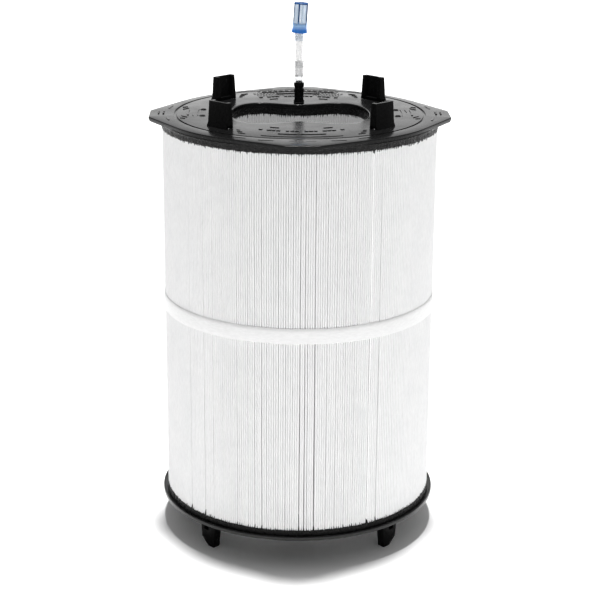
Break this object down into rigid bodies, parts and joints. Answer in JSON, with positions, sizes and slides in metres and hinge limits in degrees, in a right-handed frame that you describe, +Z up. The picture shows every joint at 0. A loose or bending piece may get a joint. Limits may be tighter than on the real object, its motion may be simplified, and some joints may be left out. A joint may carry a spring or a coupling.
{
  "type": "pool filter cartridge",
  "caption": "Large upright pleated water-filter cartridge with black end caps, upright lugs, stub feet, a waisted centre hole and an air-bleed tube with a strainer.",
  "frame": {"origin": "middle of the base, level with the soles of the feet", "axes": "+Z up along the cartridge, +X to the right and -Y towards the viewer, with the air-bleed tube on the +Y side of the hole"},
  "size_m": [0.499, 0.499, 0.8906],
  "materials": {
    "black_plastic": "smooth moulded, slightly glossy",
    "potting": "cast resin, ragged edge",
    "pleated_media": "white non-woven polyester, finely pleated",
    "white_plastic": "satin, slightly translucent",
    "clear_tube": "translucent",
    "blue_plastic": "translucent blue",
    "screen_mesh": "fine woven screen",
    "seal_rubber": "matt"
  },
  "bodies": {
    "cartridge": {"top_end_cap": "black_plastic", "bottom_end_cap": "black_plastic", "top_lug_front_left": "black_plastic", "top_lug_front_right": "black_plastic", "top_lug_rear_right": "black_plastic", "top_lug_rear_left": "black_plastic", "foot_front_left": "black_plastic", "foot_front_right": "black_plastic", "foot_rear_right": "black_plastic", "foot_rear_left": "black_plastic", "outer_pleat_pack": "pleated_media", "inner_pleat_pack": "pleated_media", "outer_media_seam": "white_plastic", "outer_potting_bottom": "potting", "inner_potting_bottom": "potting", "outer_potting_top": "potting", "inner_potting_top": "potting", "outer_support_core": "white_plastic", "inner_support_core": "white_plastic", "mid_band": "white_plastic", "bleed_fitting": "black_plastic", "bleed_gasket": "seal_rubber", "outlet_spigot_front": "black_plastic", "outlet_spigot_rear": "black_plastic", "outlet_seal_front": "seal_rubber", "outlet_seal_rear": "seal_rubber"},
    "hose": {"bleed_hose": "clear_tube", "bleed_collar": "clear_tube"},
    "tube": {"bleed_tube": "clear_tube", "strainer_bushing": "clear_tube"},
    "strainer": {"strainer_base": "blue_plastic", "strainer_cage": "blue_plastic", "strainer_screen": "screen_mesh"}
  },
  "joints": [
    {"name": "hose_swivel", "type": "hinge", "parent": "cartridge", "child": "hose", "pos_m": [0, 0.093, 0.754], "axis": [0, 0, 1], "continuous": true},
    {"name": "tube_pull", "type": "slide", "parent": "hose", "child": "tube", "axis": [0, 0, 1], "range_m": [0, 0.03]},
    {"name": "strainer_pull", "type": "slide", "parent": "tube", "child": "strainer", "axis": [0.0628, 0, 0.998], "range_m": [0, 0.02]}
  ]
}
